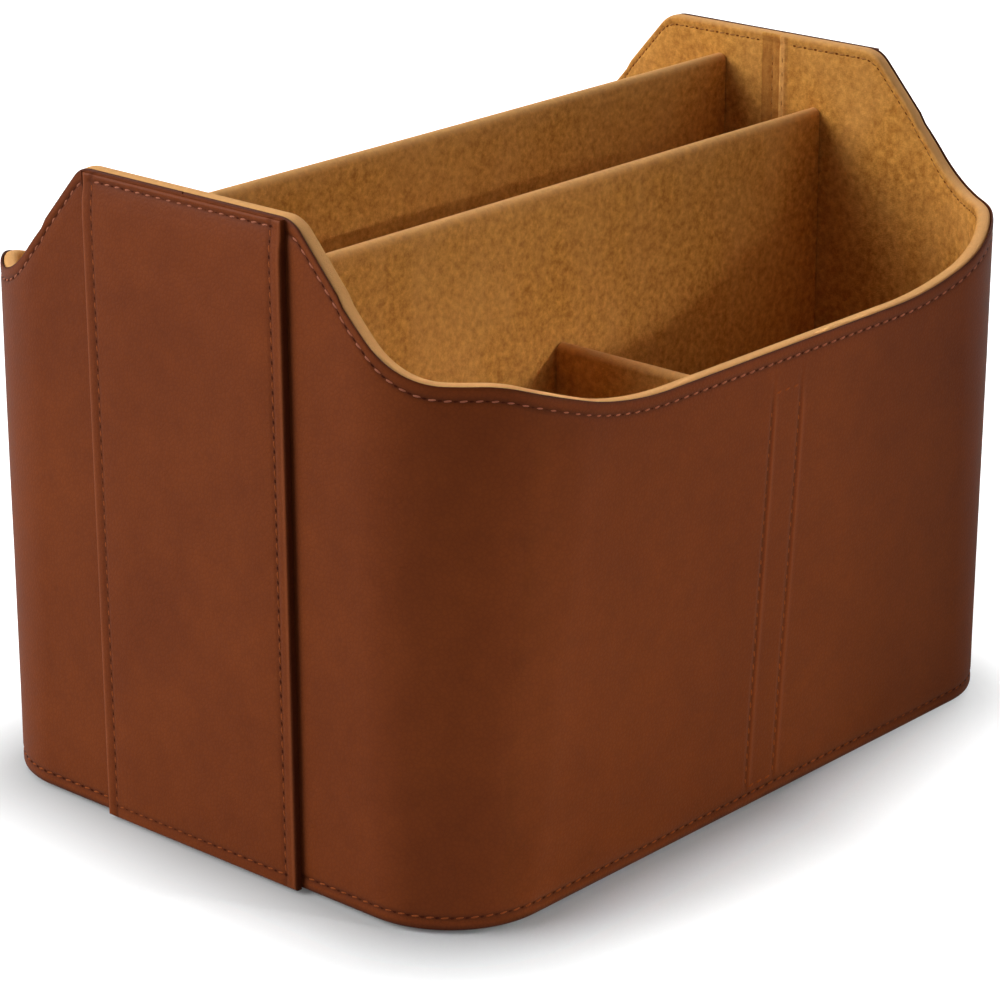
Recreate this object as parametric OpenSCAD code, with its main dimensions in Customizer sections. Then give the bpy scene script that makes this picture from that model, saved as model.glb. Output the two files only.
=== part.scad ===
// Remote control holder: a stiff leather-covered box, lined with suede, that stands on a table
// and keeps remotes, pens and a tablet upright in five compartments.
//
// The wall is a sandwich of three layers: leather outside, a stiff board, suede inside. It is
// made as a front half and a back half that meet in the middle of each end, where a sewn-on
// panel covers the outer joint. The walls lean out a little at the front and back, and the
// rounded corners get softer towards the rim. The rim is high and level at both ends, sweeps
// down beside the corners and dips along the front and back.
//
// X runs along the length, the front is at -Y, and the box stands on z = 0.

/* [Box] */
// Length over the leather walls, without the end panels
box_l = 250; // [220:1:290]
// Width over the leather walls at the base
base_w = 189; // [176:1:210]
// Width over the leather walls, carried up to the full height of the ends
top_w = 211; // [200:1:226]
// Corner radius at the base
base_r = 30; // [22:1:36]
// Corner radius at the full height of the ends
top_r = 50; // [40:1:58]

/* [Layers] */
// Thickness of the outer leather
leather_t = 1.2; // [0.8:0.1:2]
// Thickness of the stiff board in the walls
board_t = 2.2; // [1.6:0.1:3]
// Thickness of the suede
suede_t = 1.2; // [0.8:0.1:2]
// Glue line between two layers
glue_t = 0.1; // [0.05:0.05:0.3]

/* [Rim] */
// Height of the rim at the ends
end_h = 188; // [170:1:210]
// Height of the rim where it turns the corners
shoulder_h = 151; // [144:1:160]
// Height of the rim in the middle of the front and back
front_h = 138; // [130:1:142]
// Level stretch of the rim at each end, up to its sharp corners
end_flat = 79; // [72:1:86]
// Distance along the wall over which the rim sweeps down from the end
sweep_run = 33; // [28:1:38]
// Distance along the wall over which the rim stays level round the corner
shoulder_run = 27; // [24:1:32]
// Distance along the wall over which the rim dips towards the front
dip_run = 44; // [36:1:50]
// Radius of the rim where it leaves the level end
end_r = 9; // [5:0.5:12]
// Radius of the rim at the foot of the sweep
sweep_r = 28; // [16:1:28]
// Radius of the rim where the shoulder ends
shoulder_r = 40; // [20:1:60]
// Radius of the rim where the dip levels out
dip_r = 120; // [60:5:120]
// Gap between the front and back halves at the end seams
seam_gap = 0.4; // [0.2:0.1:1]

/* [Base] */
// Thickness of the base board
base_board_t = 3; // [2:0.5:5]
// Thickness of the underside cover
base_cover_t = 1; // [0.8:0.1:2]
// How far the underside cover stays back from the edge of the box
base_cover_in = 3; // [1:0.5:6]
// Width of the leather hem turned in under the base
hem_w = 12; // [8:1:18]

/* [End panels] */
// Width of the sewn-on end panels
panel_w = 74.5; // [68:0.5:78]
// Thickness of the backing inside an end panel
backing_t = 1; // [0.6:0.1:1.6]
// Width of the leather turned round the edge of the backing
turn_w = 1.4; // [1:0.1:3]
// Chamfer along the outer edge of an end panel
panel_ch = 0.5; // [0.2:0.1:0.8]

/* [Dividers] */
// Width of the slot between the two long dividers
slot_w = 32; // [20:1:44]
// Height of the long divider at the front of the slot
front_divider_h = 167.5; // [140:0.5:178]
// Height of the long divider at the back of the slot
rear_divider_h = 179; // [140:0.5:181]
// Height of the short cross dividers
cross_h = 122; // [80:1:122]
// Thickness of the board inside the dividers
divider_board_t = 2; // [1.5:0.1:3]
// Width of each sewing flange where a cross divider meets the wall
flange_w = 9; // [6:0.5:14]
// How far the sewing flanges rise above a cross divider
flange_rise = 6; // [3:0.5:6]
// Clearance where a divider or the floor lining meets the lining
fit_gap = 0.3; // [0.2:0.05:0.6]

/* [Hidden] */

leather_color = [0.46, 0.22, 0.12];
suede_color = [0.72, 0.47, 0.20];
board_color = [0.62, 0.58, 0.50];
cover_color = [0.20, 0.13, 0.09];

// Each layer starts and ends at these distances in from the face of the leather.
board_in = leather_t + glue_t;
suede_in = board_in + board_t + glue_t;
wall_t = suede_in + suede_t;

// Levels of the base, from the table up.
leather_z = base_cover_t + glue_t;
hem_z = leather_z + leather_t;
board_z = hem_z + glue_t;
floor_z = board_z + base_board_t + glue_t;
inside_z = floor_z + suede_t;

// The suede rolls over the top of the board, beside the leather's cut edge, and has this height
// there. Leather and suede end at the same level.
lip_h = suede_t;
// The board ends this much below the rim: the glue over it is thicker, because the rim slopes.
board_drop = lip_h + 2 * glue_t;

// Number of flat strips on an end, round a corner, and from the corner to the middle. On the
// last stretch they get wider towards the middle, where the rim is level.
end_steps = 16;
corner_steps = 24;
side_steps = 12;
// Number of strips round the rolled lip, from its outer to its inner side.
roll_steps = 6;

// Half length, half width and corner radius of the leather's face at height z.
half_l = box_l / 2;
function half_w(z) = (base_w + (top_w - base_w) * z / end_h) / 2;
function corner_r(z) = base_r + (top_r - base_r) * z / end_h;

// The rim as it is cut on the flat wall: distance from the middle of an end against height.
// Distances are those at the height of the shoulder.
straight_end = half_w(shoulder_h) - corner_r(shoulder_h);
corner_run = corner_r(shoulder_h) * PI / 2;
straight_side = half_l - corner_r(shoulder_h);
middle_s = straight_end + corner_run + straight_side;
sweep_s = end_flat / 2 + sweep_run;
dip_s = sweep_s + shoulder_run;
rim_points = [
    [0, end_h], [end_flat / 2, end_h], [sweep_s, shoulder_h], [dip_s, shoulder_h],
    [dip_s + dip_run, front_h], [middle_s, front_h]];
rim_radii = [0, end_r, sweep_r, shoulder_r, dip_r, 0];

// Points of the arc that rounds off corner i of the rim.
function arc_points(i, steps = 12) =
    let (back = rim_points[i - 1] - rim_points[i], on = rim_points[i + 1] - rim_points[i],
         u = back / norm(back), v = on / norm(on),
         half_angle = acos(u * v) / 2,
         reach = min(rim_radii[i] / tan(half_angle), norm(back) / 2, norm(on) / 2),
         r = reach * tan(half_angle),
         centre = rim_points[i] + (u + v) / norm(u + v) * r / sin(half_angle),
         start = rim_points[i] + u * reach - centre,
         turn = (180 - 2 * half_angle) * sign(back[0] * on[1] - back[1] * on[0]) * -1)
    [for (k = [0:steps]) let (a = turn * k / steps)
        centre + [start[0] * cos(a) - start[1] * sin(a), start[0] * sin(a) + start[1] * cos(a)]];

rim_path = [
    rim_points[0],
    for (i = [1:len(rim_points) - 2]) each arc_points(i),
    rim_points[len(rim_points) - 1]];
function rim_z(s) = lookup(s, rim_path);

// Stations from the middle of an end, round a corner, to the middle of the side. Each is
// [stretch, place, distance along the rim]. The place is a distance from the middle of the
// end, an angle round the corner, or the share of the straight side still to go.
flat_s = end_flat / 2 - end_r / 2;
end_s = min(half_w(0) - base_r, half_w(end_h) - top_r);
quarter = [
    [0, 0, 0],
    for (k = [0:end_steps - 1]) let (s = flat_s + (end_s - flat_s) * k / end_steps) [0, s, s],
    for (k = [0:corner_steps - 1]) let (t = k / corner_steps)
        [1, 90 * t, straight_end + corner_run * t],
    for (k = [0:side_steps]) let (t = pow(k / side_steps, 1.5))
        [2, 1 - t, straight_end + corner_run + straight_side * t]];

// Point of a station in the quarter at +X and -Y, at height z and some way in from the face.
function wall_point(station, inset, z) =
    let (r = corner_r(z), w = half_w(z), place = station[1])
    station[0] == 0 ? [half_l - inset, -max(place, seam_gap / 2), z]
    : station[0] == 1 ? [half_l - r + (r - inset) * cos(place), r - w - (r - inset) * sin(place), z]
    : [(half_l - r) * place, inset - w, z];

// A layer's section is a list of [inset, height above the floor, share of the rim height]:
// a point lies at height + share * rim height.
function section_point(station, p) =
    wall_point(station, p[0], p[1] + p[2] * rim_z(station[2]));

function mirrored(points) = [for (p = points) [-p[0], p[1], p[2]]];

// Front half of one layer: its section carried along the wall from end to end.
module front_half(section) {
    n = len(section);
    count = len(quarter);
    rings = [
        for (k = [0:count - 1]) [for (p = section) section_point(quarter[k], p)],
        for (k = [count - 2:-1:0]) mirrored([for (p = section) section_point(quarter[k], p)])];
    last = len(rings) - 1;
    faces = [
        [for (j = [0:n - 1]) j],
        for (k = [0:last - 1], j = [0:n - 1])
            let (a = k * n + j, b = k * n + (j + 1) % n) each [[a, a + n, b], [b, a + n, b + n]],
        [for (j = [0:n - 1]) last * n + (n - j) % n]];
    polyhedron([for (ring = rings) each ring], faces, convexity = 10);
}

module back_half(section) {
    mirror([0, 1, 0]) front_half(section);
}

// Sections, each listed from its outer side over the top to its inner side. The first point of
// each sees the whole section, so that the cut ends divide into triangles that meet there.
leather_section = [
    [0, leather_z, 0], [0, 0, 1], [leather_t, 0, 1],
    [leather_t, hem_z, 0], [hem_w, hem_z, 0], [hem_w, leather_z, 0]];
board_section = [
    [board_in, board_z, 0], [board_in, -board_drop, 1],
    [board_in + board_t, -board_drop, 1], [board_in + board_t, board_z, 0]];
roll_r = (wall_t - board_in) / 2;
lining_section = [
    [wall_t, -lip_h / 2, 1], [wall_t, floor_z, 0],
    [suede_in, floor_z, 0], [suede_in, -lip_h, 1], [board_in, -lip_h, 1],
    for (k = [0:roll_steps - 1]) let (a = 180 * k / roll_steps)
        [board_in + roll_r - roll_r * cos(a), -lip_h / 2 + lip_h / 2 * sin(a), 1]];

module front_leather() { color(leather_color) front_half(leather_section); }
module back_leather() { color(leather_color) back_half(leather_section); }
module front_board() { color(board_color) front_half(board_section); }
module back_board() { color(board_color) back_half(board_section); }
module front_lining() { color(suede_color) front_half(lining_section); }
module back_lining() { color(suede_color) back_half(lining_section); }

// Outline of the box at height z, some way in from the face, as a flat shape.
module box_outline(z, inset) {
    r = corner_r(z) - inset;
    l = box_l - 2 * inset;
    w = 2 * (half_w(z) - inset);
    square([l - 2 * r, w], center = true);
    square([l, w - 2 * r], center = true);
    for (sx = [-1, 1], sy = [-1, 1]) translate([sx * (l / 2 - r), sy * (w / 2 - r)])
        circle(r, $fn = 96);
}

module base_board() {
    color(board_color) translate([0, 0, board_z]) linear_extrude(base_board_t)
        box_outline(board_z, suede_in);
}

module base_cover() {
    color(cover_color) linear_extrude(base_cover_t) box_outline(0, base_cover_in);
}

module floor_lining() {
    color(suede_color) translate([0, 0, floor_z]) linear_extrude(suede_t)
        box_outline(floor_z, wall_t + fit_gap);
}

// End panels, drawn flat against the +X end and mirrored to the other. Their tops stay a
// chamfer's depth below the rim.
panel_t = backing_t + glue_t + leather_t;
panel_z = leather_z;
panel_h = end_h - panel_ch - panel_z;
panel_x = half_l + glue_t;

// A plate standing on edge with its outer edges chamfered all round.
module chamfered_plate(t, w, h, c) {
    intersection() {
        rotate([90, 0, 0]) linear_extrude(w, center = true)
            polygon([[0, 0], [t - c, 0], [t, c], [t, h - c], [t - c, h], [0, h]]);
        linear_extrude(h)
            polygon([[0, -w / 2], [t - c, -w / 2], [t, -w / 2 + c], [t, w / 2 - c],
                     [t - c, w / 2], [0, w / 2]]);
    }
}

module end_panel() {
    translate([panel_x, 0, panel_z]) difference() {
        chamfered_plate(panel_t, panel_w, panel_h, panel_ch);
        translate([-1, -panel_w / 2 + turn_w, turn_w])
            cube([backing_t + glue_t + 1, panel_w - 2 * turn_w, panel_h - 2 * turn_w]);
    }
}

module panel_backing() {
    translate([panel_x, -panel_w / 2 + turn_w + glue_t, panel_z + turn_w + glue_t])
        cube([backing_t, panel_w - 2 * turn_w - 2 * glue_t, panel_h - 2 * turn_w - 2 * glue_t]);
}

module right_end_panel() { color(leather_color) end_panel(); }
module left_end_panel() { color(leather_color) mirror([1, 0, 0]) end_panel(); }
module right_panel_backing() { color(board_color) panel_backing(); }
module left_panel_backing() { color(board_color) mirror([1, 0, 0]) panel_backing(); }

// A divider is a board with suede folded over its top edge. The suede stands on the floor
// lining and the board hangs in the fold.
cover_in = suede_t + glue_t;
divider_t = divider_board_t + 2 * cover_in;
divider_y = slot_w / 2;
divider_l = 2 * (half_l - wall_t - fit_gap);

// Long divider board and cover, standing on the floor with their slot faces at y = 0.
module long_board(height) {
    translate([-divider_l / 2, cover_in, inside_z])
        cube([divider_l, divider_board_t, height - cover_in - inside_z]);
}

module long_cover(height) {
    difference() {
        translate([-divider_l / 2, 0, inside_z]) rotate([90, 0, 90]) linear_extrude(divider_l)
            fold_profile(divider_t, height - inside_z);
        translate([-divider_l / 2 - 1, suede_t, inside_z - 1])
            cube([divider_l + 2, divider_board_t + 2 * glue_t, height - suede_t - inside_z + 1]);
    }
}

// Cross-section of a folded edge: straight sides under a rounded top.
module fold_profile(t, h) {
    r = t / 2;
    square([t, h - r]);
    translate([r, h - r]) circle(r, $fn = 48);
}

module front_divider_board() {
    color(board_color) mirror([0, 1, 0]) translate([0, divider_y, 0]) long_board(front_divider_h);
}
module front_divider_cover() {
    color(suede_color) mirror([0, 1, 0]) translate([0, divider_y, 0]) long_cover(front_divider_h);
}
module rear_divider_board() {
    color(board_color) translate([0, divider_y, 0]) long_board(rear_divider_h);
}
module rear_divider_cover() {
    color(suede_color) translate([0, divider_y, 0]) long_cover(rear_divider_h);
}

// Cross dividers stand between a long divider and the leaning wall. They are drawn at the
// back, where both have positive y, and mirrored to the front.
cross_y = divider_y + divider_t + fit_gap;
flange_h = cross_h + flange_rise;
function lining_y(z) = half_w(z) - wall_t - fit_gap;

// Side view of a cross divider, from the long divider to some way short of the lining.
module cross_side(z0, z1, short) {
    polygon([[cross_y, z0], [lining_y(z0) - short, z0], [lining_y(z1) - short, z1], [cross_y, z1]]);
}

module along_x(t) {
    rotate([90, 0, 90]) linear_extrude(t, center = true) children();
}

module cross_board() {
    along_x(divider_board_t) cross_side(inside_z, cross_h - cover_in, suede_t + glue_t);
}

// The folded suede, with a flange turned to each side along the wall.
module cross_cover() {
    difference() {
        union() {
            intersection() {
                along_x(divider_t) cross_side(inside_z, cross_h, 0);
                translate([-divider_t / 2, 0, inside_z]) rotate([90, 0, 0]) mirror([0, 0, 1])
                    linear_extrude(top_w) fold_profile(divider_t, cross_h - inside_z);
            }
            along_x(divider_t + 2 * flange_w) polygon([
                [lining_y(inside_z) - suede_t, inside_z], [lining_y(inside_z), inside_z],
                [lining_y(flange_h), flange_h], [lining_y(flange_h) - suede_t, flange_h]]);
        }
        along_x(divider_board_t + 2 * glue_t)
            cross_side(inside_z - 1, cross_h - suede_t, suede_t);
    }
}

module back_cross_board() { color(board_color) cross_board(); }
module back_cross_cover() { color(suede_color) cross_cover(); }
module front_cross_board() { color(board_color) mirror([0, 1, 0]) cross_board(); }
module front_cross_cover() { color(suede_color) mirror([0, 1, 0]) cross_cover(); }

front_leather();
back_leather();
front_board();
back_board();
front_lining();
back_lining();
left_end_panel();
right_end_panel();
left_panel_backing();
right_panel_backing();
base_board();
base_cover();
floor_lining();
front_divider_board();
front_divider_cover();
rear_divider_board();
rear_divider_cover();
front_cross_board();
front_cross_cover();
back_cross_board();
back_cross_cover();
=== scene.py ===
# %% [markdown]
# # A leather desk caddy
# The real object is a box of stiff board, covered with smooth brown leather and lined with
# tan suede. The CAD model already has every layer at its true size. This lesson dresses it:
# it gives the leather its pressed seams, rolls the suede over the rim, sews the thread one
# stitch at a time, and then makes the finishes, the light and the camera.

# %% Load the CAD model
import math

import bmesh
import bpy
from mathutils import Matrix, Vector, noise


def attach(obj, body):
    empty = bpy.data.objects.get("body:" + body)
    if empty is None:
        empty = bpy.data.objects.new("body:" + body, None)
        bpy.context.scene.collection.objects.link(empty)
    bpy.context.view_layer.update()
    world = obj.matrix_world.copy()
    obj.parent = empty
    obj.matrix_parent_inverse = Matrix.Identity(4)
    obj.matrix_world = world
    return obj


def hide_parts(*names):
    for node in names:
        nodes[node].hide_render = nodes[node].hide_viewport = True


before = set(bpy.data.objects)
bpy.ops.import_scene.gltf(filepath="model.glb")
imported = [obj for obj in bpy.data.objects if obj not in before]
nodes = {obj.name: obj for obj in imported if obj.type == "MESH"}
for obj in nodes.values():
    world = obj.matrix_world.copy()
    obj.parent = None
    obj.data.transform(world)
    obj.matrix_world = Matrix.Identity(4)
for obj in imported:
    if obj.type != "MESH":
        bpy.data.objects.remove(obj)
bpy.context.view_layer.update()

MM = 0.001

# %% [markdown]
# ## The camera
# The photograph was taken from the front left corner with a long lens, a little above the
# rim. A camera can be placed by eye, or solved from the box's own corners. The values here
# come from such a solution: where the camera stands, how far it turns, and its lens.


# %% Place the camera
def new_object(name, data):
    """Puts a new object with the given data into the scene."""
    made = bpy.data.objects.new(name, data)
    bpy.context.scene.collection.objects.link(made)
    return made


def aim_camera(place, azimuth, elevation, roll, lens):
    """Adds the scene's camera, looking along the given azimuth and down by the elevation."""
    azimuth, elevation, roll = map(math.radians, (azimuth, elevation, roll))
    ahead = Vector(
        (
            math.sin(azimuth) * math.cos(elevation),
            math.cos(azimuth) * math.cos(elevation),
            -math.sin(elevation),
        )
    )
    level = Vector((math.cos(azimuth), -math.sin(azimuth), 0))
    upright = level.cross(ahead)
    right = level * math.cos(roll) + upright * math.sin(roll)
    up = upright * math.cos(roll) - level * math.sin(roll)
    data = bpy.data.cameras.new("camera")
    data.lens = lens
    data.sensor_width = 36
    data.clip_start = 0.05
    data.clip_end = 30
    camera = new_object("camera", data)
    turn = Matrix((right, up, -ahead)).transposed().to_4x4()
    camera.matrix_world = Matrix.Translation(place) @ turn
    bpy.context.scene.camera = camera
    return camera


camera = aim_camera(
    Vector((-744.0, -665.9, 432.9)) * MM, azimuth=48.048, elevation=20.014, roll=-0.296, lens=130.55
)
print("camera stands", round(camera.location.length, 3), "m from the middle of the base")

# %% [markdown]
# ## The shape of the wall
# Leather and suede follow one wall, so its shape is written once. The ends stand upright,
# the front and back lean out, and the corners get softer towards the top. These sizes and
# the rim's curve are those of the CAD model, in metres.

# %% Sizes of the wall
HALF_LENGTH = 125 * MM
BASE_WIDTH, TOP_WIDTH = 189 * MM, 211 * MM
BASE_RADIUS, TOP_RADIUS = 30 * MM, 50 * MM
END_HEIGHT, SHOULDER_HEIGHT, FRONT_HEIGHT = 188 * MM, 151 * MM, 138 * MM
END_FLAT, SWEEP_RUN, SHOULDER_RUN, DIP_RUN = 39.5 * MM, 33 * MM, 27 * MM, 44 * MM
LEATHER_BOTTOM = 1.1 * MM
LINING_BOTTOM = 5.5 * MM
WALL = 4.8 * MM


def half_width(z):
    """Half the width over the leather at height z."""
    return (BASE_WIDTH + (TOP_WIDTH - BASE_WIDTH) * z / END_HEIGHT) / 2


def corner_radius(z):
    """Radius of the rounded corners at height z."""
    return BASE_RADIUS + (TOP_RADIUS - BASE_RADIUS) * z / END_HEIGHT


straight_end = half_width(SHOULDER_HEIGHT) - corner_radius(SHOULDER_HEIGHT)
corner_run = corner_radius(SHOULDER_HEIGHT) * math.pi / 2
straight_side = HALF_LENGTH - corner_radius(SHOULDER_HEIGHT)
middle = straight_end + corner_run + straight_side
foot = END_FLAT + SWEEP_RUN
shoulder_end = foot + SHOULDER_RUN
rim_corners = [
    (0, END_HEIGHT),
    (END_FLAT, END_HEIGHT),
    (foot, SHOULDER_HEIGHT),
    (shoulder_end, SHOULDER_HEIGHT),
    (shoulder_end + DIP_RUN, FRONT_HEIGHT),
    (middle, FRONT_HEIGHT),
]
rim_radii = [0, 9 * MM, 28 * MM, 40 * MM, 120 * MM, 0]


# %% The curve of the rim
def rounded(points, radii, steps=12):
    """The points of a line whose corners are replaced by arcs."""
    path = [Vector(points[0])]
    for before, here, after, radius in zip(points, points[1:], points[2:], radii[1:]):
        corner = Vector(here)
        back = Vector(before) - corner
        on = Vector(after) - corner
        half = back.angle(on) / 2
        reach = min(radius / math.tan(half), back.length / 2, on.length / 2)
        bisector = (back.normalized() + on.normalized()).normalized()
        centre = corner + bisector * (reach / math.cos(half))
        first = corner + back.normalized() * reach - centre
        last = corner + on.normalized() * reach - centre
        turn = math.pi - 2 * half
        for step in range(steps + 1):
            share = step / steps
            mix = first * math.sin((1 - share) * turn) + last * math.sin(share * turn)
            path.append(centre + mix / math.sin(turn))
    path.append(Vector(points[-1]))
    return path


rim_curve = rounded(rim_corners, rim_radii)


def rim_height(along):
    """Height of the rim at a distance along the wall from the middle of an end."""
    for first, second in zip(rim_curve, rim_curve[1:]):
        if along <= second.x:
            share = (along - first.x) / (second.x - first.x)
            return first.y + (second.y - first.y) * share
    return rim_curve[-1].y


print("rim runs", round(4 * middle / MM), "mm round the box")

# %% [markdown]
# ## Stations round the box
# A station is a place on the wall, written as a part (end, corner or side), a position on
# that part, and its distance along the rim. The wall is divided finely where it bends,
# where the rim sweeps down, and beside the seam in the middle of the front.

# %% Divide a quarter of the wall
BEHIND_PANEL = (0.2, 4, 10, 16, 22, 28, 32)
FINE_FROM, FINE_TO = 35 * MM, 55.5 * MM
END_STEPS, CORNER_STEPS, SIDE_STEPS, SEAM_STEPS = 22, 44, 18, 16
BOX_SEAM_STARTS = 0.87


def quarter_stations():
    """Stations from the middle of an end, round a corner, to the middle of the side."""
    found = [("end", place * MM, place * MM) for place in BEHIND_PANEL]
    for step in range(END_STEPS):
        place = FINE_FROM + (FINE_TO - FINE_FROM) * step / END_STEPS
        found.append(("end", place, place))
    for step in range(CORNER_STEPS):
        share = step / CORNER_STEPS
        found.append(("corner", 90 * share, straight_end + corner_run * share))
    shares = [(step / SIDE_STEPS) ** 1.3 * BOX_SEAM_STARTS for step in range(SIDE_STEPS)]
    beside_seam = 1 - BOX_SEAM_STARTS
    shares += [BOX_SEAM_STARTS + beside_seam * step / SEAM_STEPS for step in range(SEAM_STEPS + 1)]
    for share in shares:
        found.append(("side", 1 - share, straight_end + corner_run + straight_side * share))
    return found


def wall_point(station, inset, z):
    """Point of a station at height z, some way in from the face of the leather."""
    part, place, _ = station
    radius = corner_radius(z)
    width = half_width(z)
    if part == "end":
        return Vector((HALF_LENGTH - inset, -place, z))
    if part == "corner":
        angle = math.radians(place)
        x = HALF_LENGTH - radius + (radius - inset) * math.cos(angle)
        return Vector((x, radius - width - (radius - inset) * math.sin(angle), z))
    return Vector(((HALF_LENGTH - radius) * place, inset - width, z))


quarter = quarter_stations()
half_round = [(station, 1) for station in quarter]
half_round += [(station, -1) for station in reversed(quarter[:-1])]
print(len(half_round), "stations in each half of the wall")

# %% [markdown]
# ## Relief of hand-covered leather
# Leather glued over board is never perfectly flat. It swells by a few tenths of a
# millimetre between seams, and each seam pulls it in. The first is a smooth noise. The
# second is a narrow groove that follows the tall box of stitches in the middle of the
# front and back, with a low ridge on one side of it where the leather is pushed up.

# %% Swelling and pressed lines
BOX_SEAM_X = 6.2 * MM
BOX_SEAM_TOP = 125.5 * MM
BOX_SEAM_BOTTOM = 7.5 * MM
BOX_SEAM_FADE = 3 * MM
GROOVE_WIDTH, RIDGE_ASIDE = 0.6 * MM, 1.3 * MM
BESIDE_PANEL = 38 * MM


def swelling(point):
    """How far the leather stands proud at a point, in metres."""
    broad = noise.noise(point * 14)
    fine = noise.noise(point * 42 + Vector((3, 7, 1)))
    return (0.22 * broad + 0.07 * fine) * MM


def bell(distance, width):
    """A smooth hump: 1 at no distance, and close to 0 beyond twice the width."""
    return math.exp(-((distance / width) ** 2))


def pressed(point):
    """Relief of the box seam at a point: 1 at the bottom of the groove, below 0 on the ridge."""
    above = (BOX_SEAM_TOP + 2 * MM - point.z) / BOX_SEAM_FADE
    below = (point.z - BOX_SEAM_BOTTOM + 1 * MM) / BOX_SEAM_FADE
    fade = min(1.0, max(0.0, min(above, below)))
    relief = 0.0
    for line in (-BOX_SEAM_X, BOX_SEAM_X):
        aside = point.x - line
        relief += bell(aside, GROOVE_WIDTH) - 0.6 * bell(aside - RIDGE_ASIDE, GROOVE_WIDTH)
    return relief * fade


def leather_relief(seen, part, inset, value):
    """What seams and swelling do to a point of the leather's face: added inset and mark."""
    if inset > 0.5 * MM:
        return 0.0, value
    if part == "end":
        # On the end wall, a dark line beside each panel's edge: a painted shadow cast by the panel.
        value = max(value, 0.9 * bell(abs(seen.y) - BESIDE_PANEL, 0.9 * MM))
    # At the box seam the groove is marked dark, painted shade, and the ridge beside it light, a
    # painted highlight.
    groove = pressed(seen) if part == "side" else 0
    value = value if abs(value) > abs(groove) else 0.8 * groove
    return 0.3 * MM * groove - swelling(seen), value


# %% [markdown]
# ## Carrying a section round the box
# A wall layer has the same section everywhere, but a modifier can't lean it, round its
# corners and cut it along the rim at once. So each layer starts as a flat grid with one
# row for each point of its section and one column for each station. Every vertex of the
# grid is then carried to its place on the wall, the last row is welded to the first, and
# the two ends are closed.


# %% Select, smooth and mark
def deselect_all():
    """Leaves edit mode if needed and deselects every object."""
    if bpy.context.mode != "OBJECT":
        bpy.ops.object.mode_set(mode="OBJECT")
    bpy.ops.object.select_all(action="DESELECT")


def work_on(piece):
    """Makes one object the only selected one."""
    deselect_all()
    piece.select_set(True)
    bpy.context.view_layer.objects.active = piece


def pick(kind, test):
    """Selects, in edit mode, the faces or the edges that pass a test."""
    mesh = bmesh.from_edit_mesh(bpy.context.object.data)
    bpy.ops.mesh.select_all(action="DESELECT")
    bpy.ops.mesh.select_mode(type="FACE" if kind == "faces" else "EDGE")
    for element in getattr(mesh, kind):
        element.select_set(bool(test(element)))
    mesh.select_flush_mode()
    bmesh.update_edit_mesh(bpy.context.object.data)


def soften(piece, degrees=40):
    """Shades a piece smooth, except across edges sharper than the angle."""
    work_on(piece)
    bpy.ops.object.shade_smooth_by_angle(angle=math.radians(degrees))


def paint(piece, name, value):
    """Writes a number on every vertex, which the finishes read as an attribute."""
    layer = piece.data.attributes.get(name)
    layer = layer or piece.data.attributes.new(name, "FLOAT", "POINT")
    for index, vertex in enumerate(piece.data.vertices):
        layer.data[index].value = value(vertex.co)


# %% Carry a section
def to_quarter(point, flip, side):
    """The same point in another quarter of the box, which two signs name."""
    return Vector((point.x * flip, -point.y * side, point.z))


def carry_section(name, section, back, stations, relief):
    """Makes one half of a wall layer from its section, a list of (inset, rise, share, mark)."""
    deselect_all()
    columns, rows = len(stations), len(section)
    bpy.ops.mesh.primitive_grid_add(x_subdivisions=columns - 1, y_subdivisions=rows, size=1)
    piece = bpy.context.object
    piece.name = name
    mark = piece.data.attributes.new("mark", "FLOAT", "POINT")
    side = 1 if back else -1
    for index, vertex in enumerate(piece.data.vertices):
        column = round((vertex.co.x + 0.5) * (columns - 1))
        row = round((vertex.co.y + 0.5) * rows) % rows
        station, flip = stations[column]
        inset, rise, share, value = section[row]
        z = rise + share * rim_height(station[2])
        seen = to_quarter(wall_point(station, inset, z), flip, side)
        added, value = relief(seen, station[0], inset, value)
        vertex.co = to_quarter(wall_point(station, inset + added, z), flip, side)
        mark.data[index].value = value
    bpy.ops.object.mode_set(mode="EDIT")
    bpy.ops.mesh.select_all(action="SELECT")
    bpy.ops.mesh.remove_doubles(threshold=0.01 * MM)
    for end in (1, -1):
        pick("edges", lambda edge: edge.is_boundary and edge.verts[0].co.x * end > 0)
        bpy.ops.mesh.edge_face_add()
    bpy.ops.mesh.select_all(action="SELECT")
    bpy.ops.mesh.normals_make_consistent(inside=False)
    bpy.ops.object.mode_set(mode="OBJECT")
    soften(piece)
    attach(piece, "root")
    print(name, "has", len(piece.data.polygons), "faces")
    return piece


# %% [markdown]
# ## The leather
# Each half of the leather is one sheet: a rounded cut edge level with the rim, a pressed
# line where the rim is sewn, the face itself, another pressed line above the base, and a
# hem turned in under the box. The list goes up the outer face, over the cut edge and down
# behind it. The last number of each row is the mark: above 0 on the cut edge at the rim,
# which is stained dark, in a pressed line, which gets painted shade, and on the rounded
# bottom edge, which gets a painted shadow along the base; below 0 for a painted highlight.

# %% Make both halves of the leather
SEAM_DROP = 3.7 * MM
SEAM_RISE = 4.9 * MM
PLAIN_MARGIN = 9 * MM
LEATHER_THICK = 1.2 * MM
HEM_DEPTH, HEM_TOP = 12 * MM, LEATHER_BOTTOM + LEATHER_THICK
GROOVE_DEPTH = 0.34 * MM


def groove_rows(level, share):
    """Rows of a pressed line: the leather dips in and out, with painted shade in the dip."""
    profile = [(-1.5, 0), (-0.8, 0.3), (0, 1), (0.8, 0.3), (1.5, 0)]
    return [(GROOVE_DEPTH * dip, level + up * MM, share, dip) for up, dip in profile]


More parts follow.
